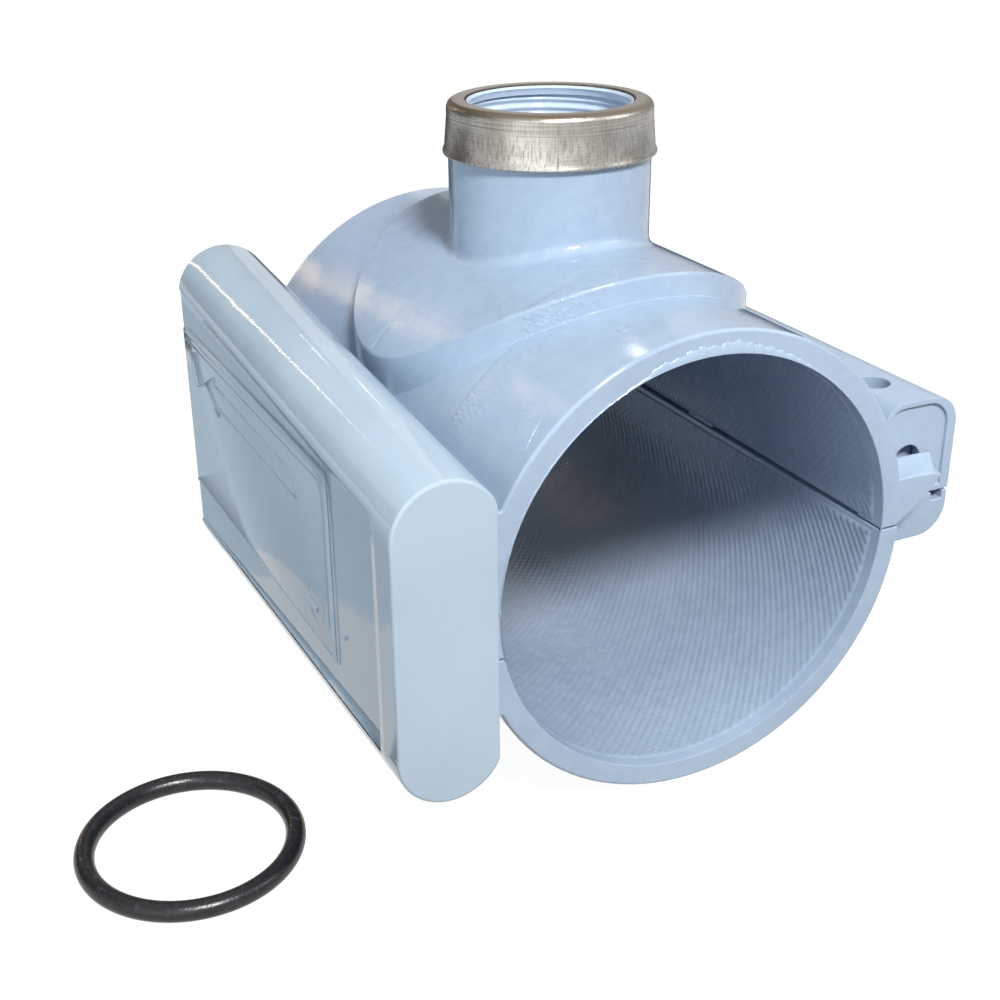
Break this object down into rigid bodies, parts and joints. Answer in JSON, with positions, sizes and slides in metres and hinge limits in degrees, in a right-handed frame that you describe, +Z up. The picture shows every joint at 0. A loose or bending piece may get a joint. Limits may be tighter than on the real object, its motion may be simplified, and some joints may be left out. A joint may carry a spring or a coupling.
{
  "type": "saddle tee",
  "caption": "Clamp-on pipe saddle tee: hinged half shells drawn together by a tapered sliding wedge, with a female threaded outlet under a steel collar and a rubber ring seal.",
  "frame": {"origin": "middle of the run bore's axis", "axes": "+Y along the pipe, towards the wedge's open mouth; +Z up the outlet's axis; +X towards the hinge"},
  "size_m": [0.2476, 0.177, 0.1684],
  "materials": {
    "pale_plastic": "moulded, glossy, pale blue grey",
    "stainless_sheet": "pressed stainless sheet, brushed round its side",
    "black_rubber": "moulded black rubber, slightly shiny"
  },
  "bodies": {
    "saddle": {"upper_saddle": "pale_plastic", "lower_saddle": "pale_plastic", "reinforcing_collar": "stainless_sheet", "o_ring": "black_rubber"},
    "wedge": {"locking_wedge": "pale_plastic"}
  },
  "joints": [
    {"name": "wedge_slide", "type": "slide", "parent": "saddle", "child": "wedge", "axis": [0, -1, 0], "range_m": [0, 0.17]}
  ]
}
